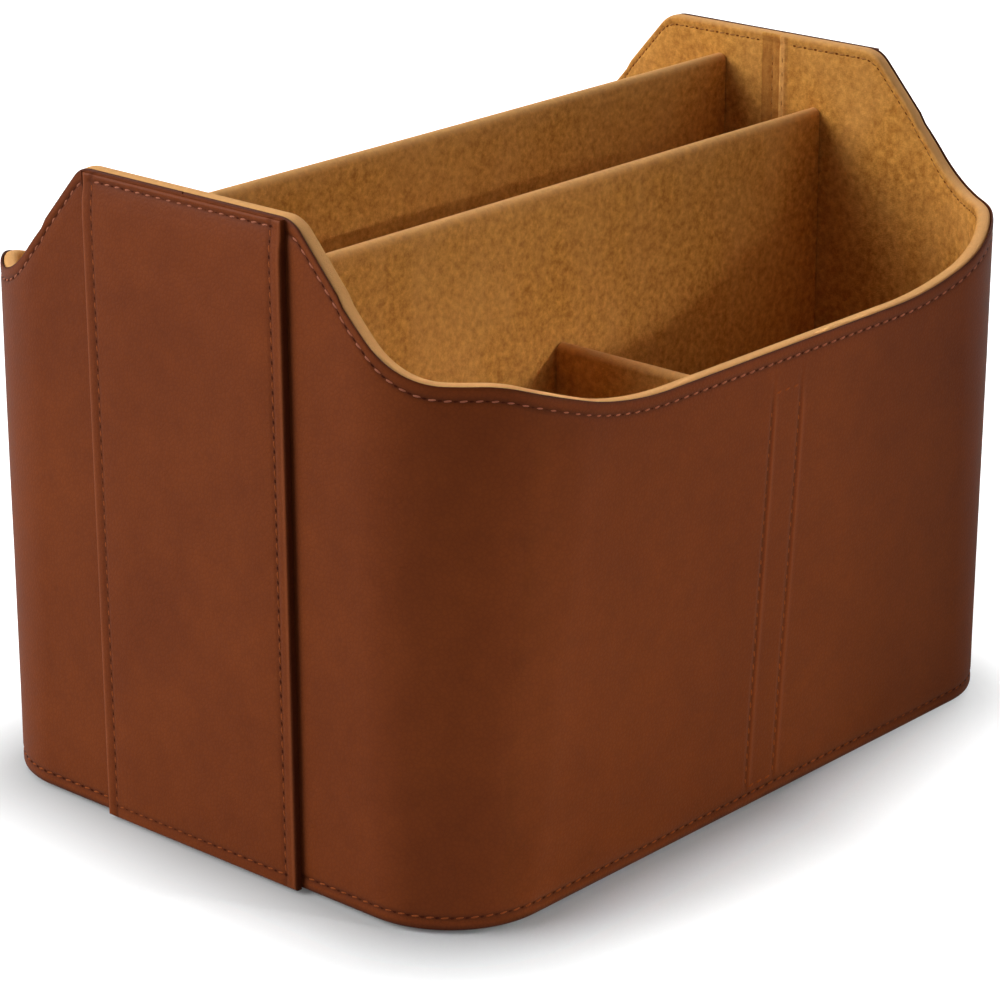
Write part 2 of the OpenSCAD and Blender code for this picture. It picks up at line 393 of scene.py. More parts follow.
leather_section = [
    # The first rows, the rounded bottom edge, are marked dark: a painted shadow along the base.
    (1.3 * MM, LEATHER_BOTTOM, 0, 0.5),
    (0.6 * MM, LEATHER_BOTTOM + 0.12 * MM, 0, 0.8),
    (0.2 * MM, LEATHER_BOTTOM + 0.5 * MM, 0, 1),
    (0.03 * MM, LEATHER_BOTTOM + 1.1 * MM, 0, 0.6),
    (0, LEATHER_BOTTOM + 2.0 * MM, 0, 0),
]
# The dips of both pressed lines are marked dark: painted shade in the groove.
leather_section += groove_rows(SEAM_RISE, 0)
leather_section += [
    (0, PLAIN_MARGIN * (1 - t), t, 0) for t in (0, 0.1, 0.25, 0.4, 0.55, 0.7, 0.85)
]
leather_section += [(0, -PLAIN_MARGIN, 1, 0)]
leather_section += groove_rows(-SEAM_DROP, 1)
leather_section += [
    (0, -1.5 * MM, 1, 0),
    (0.02 * MM, -0.95 * MM, 1, 0.1),
    (0.09 * MM, -0.5 * MM, 1, 0.5),
    (0.22 * MM, -0.16 * MM, 1, 1),
    (0.4 * MM, 0, 1, 1),
    (0.66 * MM, -0.08 * MM, 1, 1),
    (0.72 * MM, -0.5 * MM, 1, 1),
    (LEATHER_THICK, -1.6 * MM, 1, 0),
    (LEATHER_THICK, HEM_TOP, 0, 0),
    (HEM_DEPTH, HEM_TOP, 0, 0),
    (HEM_DEPTH, LEATHER_BOTTOM, 0, 0),
]
leather_front = carry_section("leather_front", leather_section, False, half_round, leather_relief)
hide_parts("front_leather")
leather_back = carry_section("leather_back", leather_section, True, half_round, leather_relief)
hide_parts("back_leather")

# %% [markdown]
# ## The suede lining
# The lining is the same kind of layer, but its top edge is rolled over the board up to the
# leather's cut edge. A suede fold is a soft, slightly lop-sided roll whose nap is worn there
# and whose top catches the light, so the rows of the roll carry a mark that the suede finish
# turns into a lighter colour: wear and a painted highlight. Inside each end, the front half
# laps over the back half: its folded edge stands out as a ridge with a painted highlight,
# and the back half beside it is pressed down and carries a painted shadow, a mark below 0.


# %% The lapped joint of the lining
JOINT = 4.7 * MM
RIDGE = 1.4 * MM
STRIP = 6.8 * MM
STRIP_SEAM = 3.0 * MM
STRIP_STEPS = (0.03, 0.8, 1.6, 2.3, 2.7, 3, 3.3, 3.7, 4.6, 5.8, 6.6, 7, 7.5)
LAP_STEPS = [0.03] + [0.35 * step for step in range(1, 14)]


def lining_stations(back):
    """Stations of half the lining, close together beside its joint in front of the middle."""
    if back:
        beside = [step * MM - JOINT for step in STRIP_STEPS]
    else:
        beside = [JOINT + step * MM for step in LAP_STEPS]
    ends = [("end", place, place) for place in beside]
    rest = [station for station in quarter if station[2] > beside[-1] + 1 * MM]
    found = [(station, 1) for station in ends + rest]
    return found + [(station, -1) for station in reversed(ends + rest[:-1])]


def lining_relief(seen, part, inset, value):
    """The joint's added inset and mark: painted highlight on the ridge, painted shadow beside it.
    """
    if part != "end" or inset < 4.4 * MM:
        return 0.0, value
    ahead = -JOINT - seen.y
    if ahead > 0:
        ridge = 0.8 * bell(ahead - RIDGE, 1.2 * MM) - 0.35 * bell(ahead - RIDGE, 0.4 * MM)
        # The ridge's mark above 0 is a painted highlight.
        return ridge * MM, max(value, 0.4 * bell(ahead - RIDGE, 1.2 * MM))
    if ahead > -STRIP:
        # The strip beside the ridge gets a mark below 0: a painted shadow.
        return (-0.1 - 0.25 * bell(ahead + STRIP_SEAM, 0.5 * MM)) * MM, value - 1 + abs(value)
    return 0.0, value


# %% Make both halves of the lining
# The third number of each row of the roll is its mark: wear of the nap and a painted highlight on
# the top of the fold.
ROLL = [
    (4.8, -1.5, 0),
    (4.84, -1.1, 0.1),
    (4.82, -0.75, 0.25),
    (4.66, -0.4, 0.45),
    (4.3, -0.1, 0.65),
    (3.8, 0.07, 0.85),
    (3.1, 0.14, 1),
    (2.4, 0.12, 1),
    (1.7, 0.0, 1),
    (1.22, -0.24, 0.9),
    (1.0, -0.6, 0.5),
    (0.96, -1.0, 0.2),
]
INNER_SEAM_DROP = 2.8 * MM
SUEDE_THICK = 1.2 * MM
lining_section = [(WALL, LINING_BOTTOM, 0, 0)]
lining_section += [(WALL, LINING_BOTTOM * (1 - t), t, 0) for t in (0.2, 0.4, 0.6, 0.8)]
lining_section += [(WALL, -PLAIN_MARGIN, 1, 0)]
lining_section += [
    (WALL - 0.3 * dip * MM, up * MM - INNER_SEAM_DROP, 1, 0.0)
    for up, dip in [(-1.3, 0), (-0.6, 0.4), (0, 1), (0.5, 0.4), (1.0, 0)]
]
lining_section += [(inset * MM, rise * MM, 1, fold) for inset, rise, fold in ROLL]
behind = WALL - SUEDE_THICK
lining_section += [(behind, -1.18 * MM, 1, 0), (behind, LINING_BOTTOM, 0, 0)]
lining_front = carry_section(
    "lining_front", lining_section, False, lining_stations(back=False), lining_relief
)
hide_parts("front_lining")
lining_back = carry_section(
    "lining_back", lining_section, True, lining_stations(back=True), lining_relief
)
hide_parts("back_lining")

# %% [markdown]
# ## The end panels
# A panel is a backing wrapped in leather and sewn on over the joint at each end. It starts
# as a block of its own size with its wrapped edges bevelled. Straight cuts across the
# block give it points to move: close together beside the rows of stitches, where the
# leather is pressed in, and wide apart on the face, which swells a little.


# %% Blocks, cuts and modifiers that several pieces use
def make_block(name, centre, size):
    """A block of the given size round a centre."""
    deselect_all()
    bpy.ops.mesh.primitive_cube_add(size=1, location=centre, scale=size)
    piece = bpy.context.object
    piece.name = name
    bpy.ops.object.transform_apply(location=True, rotation=True, scale=True)
    return piece


def cut_across(axis, places):
    """Cuts the mesh in edit mode with planes across an axis."""
    normal = [0, 0, 0]
    normal[axis] = 1
    for place in places:
        spot = [0, 0, 0]
        spot[axis] = place
        bpy.ops.mesh.select_all(action="SELECT")
        bpy.ops.mesh.bisect(plane_co=spot, plane_no=normal)


def apply_modifier(piece, kind, **settings):
    """Adds a modifier with its settings and applies it."""
    work_on(piece)
    modifier = piece.modifiers.new(kind.lower(), kind)
    for setting, value in settings.items():
        setattr(modifier, setting, value)
    bpy.ops.object.modifier_apply(modifier=modifier.name)


# %% Make the end panels
PANEL_BACK = 125.1 * MM
PANEL_FACE = 127.4 * MM
PANEL_HALF_WIDTH = 37.25 * MM
PANEL_TOP = 187.5 * MM
PANEL_SEAM_Y = PANEL_HALF_WIDTH - 3.9 * MM
PANEL_SEAM_TOP = END_HEIGHT - 2.7 * MM
PANEL_SEAM_BOTTOM = SEAM_RISE
PANEL_THINS = 0.8 * MM
PANEL_CUTS = 8 * MM
AROUND_A_SEAM = [off * MM for off in (-1.5, -0.8, 0, 0.8, 1.5)]


def panel_face(z):
    """How far out the face of a panel lies: the rim's seam presses it thinner at the top."""
    share = min(1.0, max(0.0, (z - PANEL_SEAM_TOP + 8 * MM) / (8 * MM)))
    return PANEL_FACE - PANEL_THINS * share * share * (3 - 2 * share)


def panel_seam(point):
    """How deep a point of a panel lies in the pressed line round it, from 0 to 1."""
    across = abs(abs(point.y) - PANEL_SEAM_Y)
    over = min(abs(point.z - PANEL_SEAM_TOP), abs(point.z - PANEL_SEAM_BOTTOM))
    beyond = abs(point.y) > PANEL_SEAM_Y + 1 * MM
    return max(bell(across, 0.7 * MM), 0 if beyond else bell(over, 0.7 * MM))


def panel_mark(point):
    """The mark of a panel: painted shade in the seam, dark sides, painted highlights on the bevels.
    """
    depth = panel_face(point.z) - abs(point.x)
    if abs(point.y) > PANEL_HALF_WIDTH - 0.3 * MM:
        return min(1.0, depth / (0.8 * MM))
    # The bevels of the side and top edges are marked light: a painted highlight where they catch
    # the light.
    side_edge = bell(PANEL_HALF_WIDTH - 0.7 * MM - abs(point.y), 0.5 * MM)
    top_edge = bell(PANEL_TOP - point.z, 0.8 * MM)
    return 0.7 * panel_seam(point) - 0.5 * side_edge - 0.2 * top_edge


def end_panel(name, side):
    """Makes the panel of one end: side is 1 on the right and -1 on the left."""
    height = PANEL_TOP - LEATHER_BOTTOM
    thick = PANEL_FACE - PANEL_BACK
    centre = (side * (PANEL_BACK + thick / 2), 0, LEATHER_BOTTOM + height / 2)
    piece = make_block(name, centre, (thick, 2 * PANEL_HALF_WIDTH, height))
    bpy.ops.object.mode_set(mode="EDIT")
    pick("edges", lambda edge: all(v.co.x * side > PANEL_FACE - 1 * MM for v in edge.verts))
    bpy.ops.mesh.bevel(offset=1.0 * MM, segments=5, profile=0.5)
    cut_across(1, [PANEL_CUTS * step for step in range(-3, 4)])
    cut_across(2, [PANEL_CUTS * step for step in range(2, 23)])
    for off in AROUND_A_SEAM:
        cut_across(1, [PANEL_SEAM_Y + off, -PANEL_SEAM_Y - off])
        cut_across(2, [PANEL_SEAM_TOP + 0.6 * off, PANEL_SEAM_BOTTOM + off])
    beside_edge = PANEL_HALF_WIDTH - 1.6 * MM
    cut_across(1, [beside_edge, -beside_edge])
    cut_across(2, [PANEL_SEAM_TOP - rise * MM for rise in (3, 4.5, 6)])
    bpy.ops.mesh.select_all(action="SELECT")
    bpy.ops.mesh.normals_make_consistent(inside=False)
    bpy.ops.object.mode_set(mode="OBJECT")
    for vertex in piece.data.vertices:
        if vertex.co.x * side > PANEL_FACE - 0.9 * MM:
            vertex.co.x += side * (panel_face(vertex.co.z) - PANEL_FACE)
        if vertex.co.x * side > panel_face(vertex.co.z) - 0.1 * MM:
            rise = 0.8 * swelling(vertex.co) - 0.3 * MM * panel_seam(vertex.co)
            vertex.co.x += side * rise
    paint(piece, "mark", panel_mark)
    soften(piece)
    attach(piece, "root")
    return piece


panel_left = end_panel("panel_left", -1)
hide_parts("left_end_panel")
panel_right = end_panel("panel_right", 1)
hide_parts("right_end_panel")
print("each panel has", len(panel_left.data.polygons), "faces")

# %% [markdown]
# ## The dividers
# A long divider is a board with one piece of suede folded over its top. Its cover starts
# as a block, loses its bottom and its two ends, has its top rounded by a wide bevel, and
# gets the thickness of suede from a Solidify modifier. The board inside is the CAD's own.


# %% Make the covers of the long dividers
DIVIDER_HALF_LENGTH = 119.9 * MM
DIVIDER_THICK = 4.6 * MM
SLOT_HALF_WIDTH = 16 * MM
FLOOR = 6.7 * MM
FRONT_TOP, REAR_TOP, CROSS_TOP = 167.5 * MM, 179 * MM, 122 * MM


def fold_wear_and_highlight(z, top):
    """A fold's wear and painted highlight: it grows over the last millimetres below the top."""
    return 0.75 * max(0.0, min(1.0, (z - top + 2.6 * MM) / (2.2 * MM)))


def long_cover(name, slot_side, top):
    """Makes the suede cover of a long divider, on one side of the slot."""
    centre = (0, slot_side * (SLOT_HALF_WIDTH + DIVIDER_THICK / 2), (FLOOR + top) / 2)
    piece = make_block(name, centre, (2 * DIVIDER_HALF_LENGTH, DIVIDER_THICK, top - FLOOR))
    bpy.ops.object.mode_set(mode="EDIT")
    pick("faces", lambda face: abs(face.normal.x) > 0.9 or face.normal.z < -0.9)
    bpy.ops.mesh.delete(type="FACE")
    pick("edges", lambda edge: all(v.co.z > top - 1 * MM for v in edge.verts))
    bpy.ops.mesh.bevel(offset=2.2 * MM, segments=7, profile=0.5)
    cut_across(2, [FLOOR + share * (top - FLOOR) for share in (0.25, 0.5, 0.75, 0.96)])
    cut_across(0, [x * 10 * MM for x in range(-11, 12)])
    bpy.ops.object.mode_set(mode="OBJECT")
    for vertex in piece.data.vertices:
        inner = min(1.0, (DIVIDER_HALF_LENGTH - abs(vertex.co.x)) / (20 * MM))
        rise = max(0.0, (vertex.co.z - FLOOR) / (top - FLOOR))
        wave = noise.noise(Vector((vertex.co.x * 9, top * 90, vertex.co.z * 4)))
        vertex.co.y += inner * rise * wave * 0.5 * MM
    apply_modifier(piece, "SOLIDIFY", thickness=SUEDE_THICK, offset=-1)
    # The folded top is marked pale: wear and a painted highlight.
    paint(piece, "mark", lambda point: fold_wear_and_highlight(point.z, top))
    soften(piece)
    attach(piece, "root")
    return piece


front_cover = long_cover("divider_suede_front", -1, FRONT_TOP)
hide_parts("front_divider_cover")
rear_cover = long_cover("divider_suede_rear", 1, REAR_TOP)
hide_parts("rear_divider_cover")
print("long dividers stand", round(FRONT_TOP / MM, 1), "and", round(REAR_TOP / MM, 1), "mm high")

# %% [markdown]
# ## Pieces taken over from the CAD
# The small cross dividers, the floor lining and the underside cover already have the right
# shape, and only their edges are too crisp for cloth. A copy of each CAD mesh is welded,
# because its triangles are loose, its flat faces are joined, and its edges are rounded.


# %% Copy a CAD piece and round its edges
def soft_copy(name, node, radius, top=None):
    """Copies a CAD node, welds it, rounds its edges and lets the copy stand for it."""
    deselect_all()
    piece = new_object(name, nodes[node].data.copy())
    piece.data.materials.clear()
    work_on(piece)
    bpy.ops.object.mode_set(mode="EDIT")
    bpy.ops.mesh.select_all(action="SELECT")
    bpy.ops.mesh.remove_doubles(threshold=0.01 * MM)
    bpy.ops.mesh.dissolve_limited(angle_limit=math.radians(2))
    bpy.ops.object.mode_set(mode="OBJECT")
    apply_modifier(
        piece, "BEVEL", width=radius, segments=3, limit_method="ANGLE", angle_limit=math.radians(40)
    )
    if top is not None:
        # The top edge is marked pale: wear and a painted highlight.
        paint(piece, "mark", lambda point: fold_wear_and_highlight(point.z, top))
    soften(piece)
    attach(piece, "root")
    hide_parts(node)
    return piece


cross_front = soft_copy("cross_suede_front", "front_cross_cover", 0.3 * MM, top=CROSS_TOP)
cross_back = soft_copy("cross_suede_back", "back_cross_cover", 0.3 * MM, top=CROSS_TOP)
floor_suede = soft_copy("floor_suede", "floor_lining", 0.4 * MM)
under_felt = soft_copy("underside_felt", "base_cover", 0.3 * MM)
print("four pieces copied from the CAD model")

# %% [markdown]
# ## One stitch, many times
# A stitch is a short bulge of thread that goes down into a needle hole at both ends. One
# is modelled from a sphere with few faces, because it is repeated more than a thousand
# times. Rows are lines on the surface with a normal at each point. The stitch is copied
# along them at an even pitch, each one turned by the same few degrees, as a machine does.


# %% Model a stitch and a needle hole
def small_form(name, size, segments, rings, sink):
    """A low sphere stretched to a size, whose ends dip by the sink."""
    deselect_all()
    bpy.ops.mesh.primitive_uv_sphere_add(segments=segments, ring_count=rings, radius=0.5)
    piece = bpy.context.object
    piece.name = name
    bpy.ops.object.mode_set(mode="EDIT")
    bpy.ops.mesh.select_all(action="SELECT")
    bpy.ops.transform.rotate(value=math.radians(90), orient_axis="Y", center_override=(0, 0, 0))
    bpy.ops.transform.resize(value=size, center_override=(0, 0, 0))
    bpy.ops.object.mode_set(mode="OBJECT")
    for vertex in piece.data.vertices:
        share = abs(vertex.co.x) / (size[0] / 2)
        vertex.co.z -= sink * share**3
    mesh = piece.data.copy()
    bpy.data.objects.remove(piece)
    return mesh


STITCH_SIZE = (2.7 * MM, 0.62 * MM, 0.5 * MM)
# A needle hole is a flat dark form laid on the surface: painted shade standing in for the hole's
# depth.
HOLE_SIZE = (1.15 * MM, 0.75 * MM, 0.16 * MM)
stitch_mesh = small_form("stitch", STITCH_SIZE, segments=8, rings=7, sink=0.3 * MM)
hole_mesh = small_form("hole", HOLE_SIZE, segments=8, rings=4, sink=0)
print("a stitch has", len(stitch_mesh.polygons), "faces")


# %% Walk along a row and sew it
def place_evenly(row, pitch, offset=0.5):
    """Places along a row of (point, normal), as matrices whose X runs along the row."""
    reach = [0.0]
    for (first, _), (second, _) in zip(row, row[1:]):
        reach.append(reach[-1] + (second - first).length)
    count = max(1, round(reach[-1] / pitch))
    places = []
    index = 0
    for number in range(count):
        target = (number + offset) * reach[-1] / count
        while index < len(reach) - 2 and reach[index + 1] < target:
            index += 1
        share = (target - reach[index]) / (reach[index + 1] - reach[index])
        point = row[index][0].lerp(row[index + 1][0], share)
        normal = row[index][1].lerp(row[index + 1][1], share).normalized()
        along = (row[index + 1][0] - row[index][0]).normalized()
        across = normal.cross(along).normalized()
        along = across.cross(normal)
        turn = Matrix((along, across, normal)).transposed().to_4x4()
        places.append(Matrix.Translation(point) @ turn)
    return places


def sew(name, rows, template, pitch=4 * MM, slant=10, lift=0.0, offset=0.5):
    """Copies a small form along every row and joins the copies into one piece."""
    mesh = bmesh.new()
    tilt = Matrix.Rotation(math.radians(slant), 4, "Z")
    count = 0
    for row in rows:
        for place in place_evenly(row, pitch, offset):
            start = len(mesh.verts)
            mesh.from_mesh(template)
            mesh.verts.ensure_lookup_table()
            move = place @ Matrix.Translation((0, 0, lift)) @ tilt
            for vertex in mesh.verts[start:]:
                vertex.co = move @ vertex.co
            count += 1
    data = bpy.data.meshes.new(name)
    mesh.to_mesh(data)
    mesh.free()
    piece = new_object(name, data)
    soften(piece, 80)
    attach(piece, "root")
    print(name, "has", count, "stitches or holes")
    return piece


# %% [markdown]
# ## Where the rows run
# Five kinds of rows show: under the rim outside and inside, above the base, round the end
# panels, beside the seams inside the ends, and the tall box in the middle of the front and
# back. Each is followed on the same wall as the leather, so it lies in its pressed line.


# %% Rows that follow the wall
def wall_row(inset, level, share, back, start, inside=False):
    """A row round half the box. It starts beside the middle of the end, past the panel."""
    side = 1 if back else -1
    row = []
    for station, flip in half_round:
        if station[2] < start:
            continue
        z = level + share * rim_height(station[2])
        here = wall_point(station, inset, z)
        above = wall_point(station, inset, z + MM)
        deeper = wall_point(station, inset + MM, z)
        normal = (here - deeper).normalized()
        slope = (above - here).normalized()
        normal = (normal - slope * normal.dot(slope)).normalized()
        if inside:
            normal = -normal
        row.append((to_quarter(here, flip, side), to_quarter(normal, flip, side)))
    return row


STITCH_INSET, SHALLOW_INSET, BOX_INSET = 0.3 * MM, 0.28 * MM, 0.32 * MM
PAST_PANEL = BESIDE_PANEL + 0.6 * MM
rim_rows, base_rows, inner_rows = [], [], []
for is_back in (False, True):
    rim_rows.append(wall_row(STITCH_INSET, -SEAM_DROP, 1, is_back, PAST_PANEL))
    base_rows.append(wall_row(STITCH_INSET, SEAM_RISE, 0, is_back, PAST_PANEL))
    past_joint = STRIP - JOINT + 1 * MM if is_back else JOINT + 4 * MM
    inset = WALL - SHALLOW_INSET
    inner_rows.append(wall_row(inset, -INNER_SEAM_DROP, 1, is_back, past_joint, inside=True))
print(len(rim_rows + base_rows + inner_rows), "rows follow the wall")


# %% Rows on the panels, the end seams and the box seams
def straight_row(points, normal, steps=24):
    """A row along a line through the points, all with one normal."""
    row = []
    for first, second in zip(points, points[1:]):
        first, second = Vector(first), Vector(second)
        row += [(first.lerp(second, step / steps), Vector(normal)) for step in range(steps)]
    row.append((Vector(points[-1]), Vector(normal)))
    return row


END_SEAM_BOTTOM, END_SEAM_TOP = 9 * MM, END_HEIGHT - 5.5 * MM
panel_rows, panel_side_rows, seam_rows = [], [], []
for side in (1, -1):
    low, high = PANEL_SEAM_BOTTOM, PANEL_SEAM_TOP
    heights = [low] + [high - drop * MM for drop in (8, 6, 4, 2, 0)]
    out = (side, 0, 0)
    for y in (PANEL_SEAM_Y, -PANEL_SEAM_Y):
        points = [(side * (panel_face(z) - SHALLOW_INSET), y, z) for z in heights]
        panel_side_rows.append(straight_row(points, out))
    for z, rows in ((low, panel_side_rows), (high, panel_rows)):
        x = side * (panel_face(z) - SHALLOW_INSET)
        rows.append(straight_row([(x, -PANEL_SEAM_Y, z), (x, PANEL_SEAM_Y, z)], out))
    for y, proud in ((STRIP_SEAM - JOINT, -0.4 * MM), (-JOINT - RIDGE, 0.35 * MM)):
        inner_x = side * (HALF_LENGTH - WALL - proud)
        ends = [(inner_x, y, END_SEAM_BOTTOM), (inner_x, y, END_SEAM_TOP)]
        seam_rows.append(straight_row(ends, (-side, 0, 0)))


def face_y(side, z):
    """Where the threads of the box seam lie, on the front (-1) or the back (1)."""
    return side * (half_width(z) - BOX_INSET)


box_rows, bar_rows = [], []
lean = (TOP_WIDTH - BASE_WIDTH) / 2 / END_HEIGHT
edge = BOX_SEAM_X - 0.6 * MM
low, high = BOX_SEAM_BOTTOM, BOX_SEAM_TOP
for side in (1, -1):
    out = Vector((0, side, -lean)).normalized()
    for x in (-BOX_SEAM_X, BOX_SEAM_X):
        ends = [(x, face_y(side, low), low), (x, face_y(side, high), high)]
        box_rows.append(straight_row(ends, out))
    for z in (low, high):
        y = face_y(side, z) + side * 0.3 * MM
        bar_rows.append(straight_row([(-edge, y, z), (edge, y, z)], out))
straight_rows = panel_rows + panel_side_rows + seam_rows + box_rows + bar_rows
print(len(straight_rows), "rows are straight")

# %% Sew every row
thread_rim = sew("thread_rim", rim_rows, stitch_mesh)
thread_base = sew("thread_base", base_rows, stitch_mesh)
thread_panels = sew("thread_panels", panel_rows, stitch_mesh)
thread_sides = sew("thread_panel_sides", panel_side_rows, stitch_mesh, lift=-0.05 * MM)
thread_box = sew("thread_box_seams", box_rows, stitch_mesh, lift=-0.06 * MM)
thread_bars = sew("thread_box_bars", bar_rows, stitch_mesh, pitch=3.7 * MM)
thread_inner = sew("thread_inner_rim", inner_rows, stitch_mesh)
thread_seams = sew("thread_end_seams", seam_rows, stitch_mesh, pitch=4.5 * MM)
HOLES = {"template": hole_mesh, "lift": 0.03 * MM, "offset": 0.0}
leather_rows = rim_rows + base_rows + panel_rows + panel_side_rows
leather_holes = sew("needle_holes_leather", leather_rows, **HOLES)
suede_holes = sew("needle_holes_suede", inner_rows + seam_rows, **HOLES)

# %% [markdown]
# ## Effects shared by the finishes
# An effect that several finishes need is a node group, made once. Hide grain is the fine
# pebbling of leather. Mottling is the slow change of colour of a natural surface. Nap is
# the short, brushed fibre of suede and felt.


# %% Fill sockets and add nodes
def feed(tree, socket, value):
    """Fills a socket: with a link where the value is a socket too, else with the value."""
    if isinstance(value, bpy.types.NodeSocket):
        tree.links.new(value, socket)
    else:
        socket.default_value = value


def add(tree, kind, *in_order, **by_name):
    """Adds a node. Its inputs are filled in order or by name, its properties by name."""
    node = tree.nodes.new(kind)
    for key, value in by_name.items():
        if hasattr(node, key):
            setattr(node, key, value)
        else:
            feed(tree, node.inputs[key.replace("_", " ")], value)
    for socket, value in zip(node.inputs, in_order):
        feed(tree, socket, value)
    return node


# %% Helpers for coordinates and values
def noise_at(tree, where, **values):
    """The value of a noise texture at the given coordinates."""
    return add(tree, "ShaderNodeTexNoise", Vector=where, **values).outputs["Fac"]


def vector_math(tree, operation, *vectors):
    """The outputs of a vector math node."""
    return add(tree, "ShaderNodeVectorMath", *vectors, operation=operation).outputs


def ramp(tree, source, low, high, name):
    """Spreads a value from the range low to high over 0 to 1."""
    node = add(tree, "ShaderNodeMapRange", label=name, Value=source, From_Min=low, From_Max=high)
    return node.outputs["Result"]


def calculate(tree, operation, first, second):
    """A math node of two values, each a socket or a number."""
    return add(tree, "ShaderNodeMath", first, second, operation=operation).outputs[0]


def blend_colours(tree, factor, first, second):
    """Mixes two colours, each a socket or a tuple, by a factor."""
    node = add(tree, "ShaderNodeMix", data_type="RGBA")
    for place, value in ((0, factor), (6, first), (7, second)):
        feed(tree, node.inputs[place], value)
    return node.outputs[2]


def tint(tree, colour, factor, strength, other):
    """Mixes another colour in, as far as the factor says, times the strength."""
    return blend_colours(tree, calculate(tree, "MULTIPLY", factor, strength), colour, other)


# %% The group for hide grain
def new_group(name, results, **numbers):
    """Starts a group that takes coordinates and numbers. Also gives its two rows of sockets."""
    group = bpy.data.node_groups.new(name, "ShaderNodeTree")
    group.interface.new_socket("Vector", in_out="INPUT", socket_type="NodeSocketVector")
    for title, value in numbers.items():
        socket = group.interface.new_socket(title, in_out="INPUT", socket_type="NodeSocketFloat")
        socket.default_value = value
    for title in results:
        group.interface.new_socket(title, in_out="OUTPUT", socket_type="NodeSocketFloat")
    first = group.nodes.new("NodeGroupInput")
    last = group.nodes.new("NodeGroupOutput")
    return group, first.outputs, last.inputs


WARP = (0.0009, 0.0009, 0.0009)
hide_grain, given, result = new_group("hide grain", ["Height"], Cells=800.0)
bends = add(hide_grain, "ShaderNodeTexNoise", Vector=given["Vector"], Scale=300.0)
pulled = vector_math(
    hide_grain, "MULTIPLY_ADD", bends.outputs["Color"], WARP, given["Vector"]
)[0]
cells = add(hide_grain, "ShaderNodeTexVoronoi", feature="DISTANCE_TO_EDGE", Vector=pulled)
feed(hide_grain, cells.inputs["Scale"], given["Cells"])
creases = ramp(hide_grain, cells.outputs["Distance"], 0.0, 0.28, "creases")
pores = noise_at(hide_grain, given["Vector"], Scale=2600.0)
height = calculate(hide_grain, "ADD", creases, calculate(hide_grain, "MULTIPLY", pores, 0.35))
feed(hide_grain, result["Height"], height)
print("hide grain has", len(hide_grain.nodes), "nodes")

# %% The group for mottling
mottling, given, result = new_group("mottling", ["Shade"], Patches=16.0, Flecks=120.0)
shades = []
for scale, detail, roughness, share in (("Patches", 3.0, 0.55, 0.65), ("Flecks", 4.0, 0.65, 0.35)):
    spots = noise_at(
        mottling, given["Vector"], Scale=given[scale], Detail=detail, Roughness=roughness
    )
    spread = ramp(mottling, spots, 0.3, 0.7, scale.lower())
    shades.append(calculate(mottling, "MULTIPLY", spread, share))
feed(mottling, result["Shade"], calculate(mottling, "ADD", *shades))
print("mottling has", len(mottling.nodes), "nodes")

# %% The group for nap
STRETCH = (1.0, 1.0, 0.45)
nap, given, result = new_group("nap", ["Tuft", "Stroke", "Height"], Fibre=900.0, Brush=45.0)
tufts = noise_at(nap, given["Vector"], Scale=given["Fibre"], Detail=5.0, Roughness=0.7)
drawn = add(nap, "ShaderNodeMapping", Vector=given["Vector"], Scale=STRETCH).outputs["Vector"]
strokes = noise_at(nap, drawn, Scale=given["Brush"], Detail=3.0, Roughness=0.6, Distortion=0.8)
hairs = noise_at(nap, given["Vector"], Scale=3800.0)
feed(nap, result["Tuft"], ramp(nap, tufts, 0.32, 0.68, "tufts"))
feed(nap, result["Stroke"], ramp(nap, strokes, 0.3, 0.7, "strokes"))
height = calculate(nap, "ADD", tufts, calculate(nap, "MULTIPLY", hairs, 0.5))
feed(nap, result["Height"], height)
print("nap has", len(nap.nodes), "nodes")

# %% [markdown]
# ## The finishes
# Smooth leather is a warm brown with slow mottling, a fine grain and a satin gloss. It is
# darker in the grain's creases and on its stained cut edge; it has painted shade in pressed
# lines, a painted shadow along the base and beside the panels, and painted highlights on
# ridges and bevels. Suede has almost no gloss: its look comes from the nap, which is lighter
# where it is brushed one way and palest on the rolled edges, where it is worn and has a
# painted highlight; beside the lining's ridge it has a painted shadow. Both read the mark
# that the pieces carry, so that they know those places. Thread, the painted shade of the
# needle holes, board and felt are plainer: two tones in specks, with or without a bump.


# %% Start a finish
def new_finish(name, **plain):
    """A material with a Principled shader, and the object's coordinates."""
    material = bpy.data.materials.new(name)
    material.use_nodes = True
    tree = material.node_tree
    shader = tree.nodes["Principled BSDF"]
    for key, value in plain.items():
        shader.inputs[key.replace("_", " ")].default_value = value
    return material, tree, shader, add(tree, "ShaderNodeTexCoord").outputs["Object"]


def place_group(tree, group, where, **values):
    """Adds a group node on the object's coordinates with its own values."""
    return add(tree, "ShaderNodeGroup", node_tree=group, Vector=where, **values)


def raise_surface(tree, shader, height, strength, distance):
    """Bump from a height."""
    node = add(tree, "ShaderNodeBump", Height=height, Strength=strength, Distance=distance)
    feed(tree, shader.inputs["Normal"], node.outputs["Normal"])


def srgb(red, green, blue):
    """A colour written as 0 to 255 screen values, turned into the light values Blender uses."""
    return tuple(((value / 255 + 0.055) / 1.055) ** 2.4 for value in (red, green, blue)) + (1.0,)


# %% Leather
leather, tree, shader, where = new_finish("cognac leather", Specular_IOR_Level=0.1)
mark = add(tree, "ShaderNodeAttribute", attribute_name="mark").outputs["Fac"]
shade = place_group(tree, mottling, where, Patches=14.0, Flecks=120.0).outputs["Shade"]
grain = place_group(tree, hide_grain, where, Cells=760.0).outputs["Height"]
creased = calculate(tree, "SUBTRACT", 1.0, ramp(tree, grain, 0.1, 0.8, "creases"))
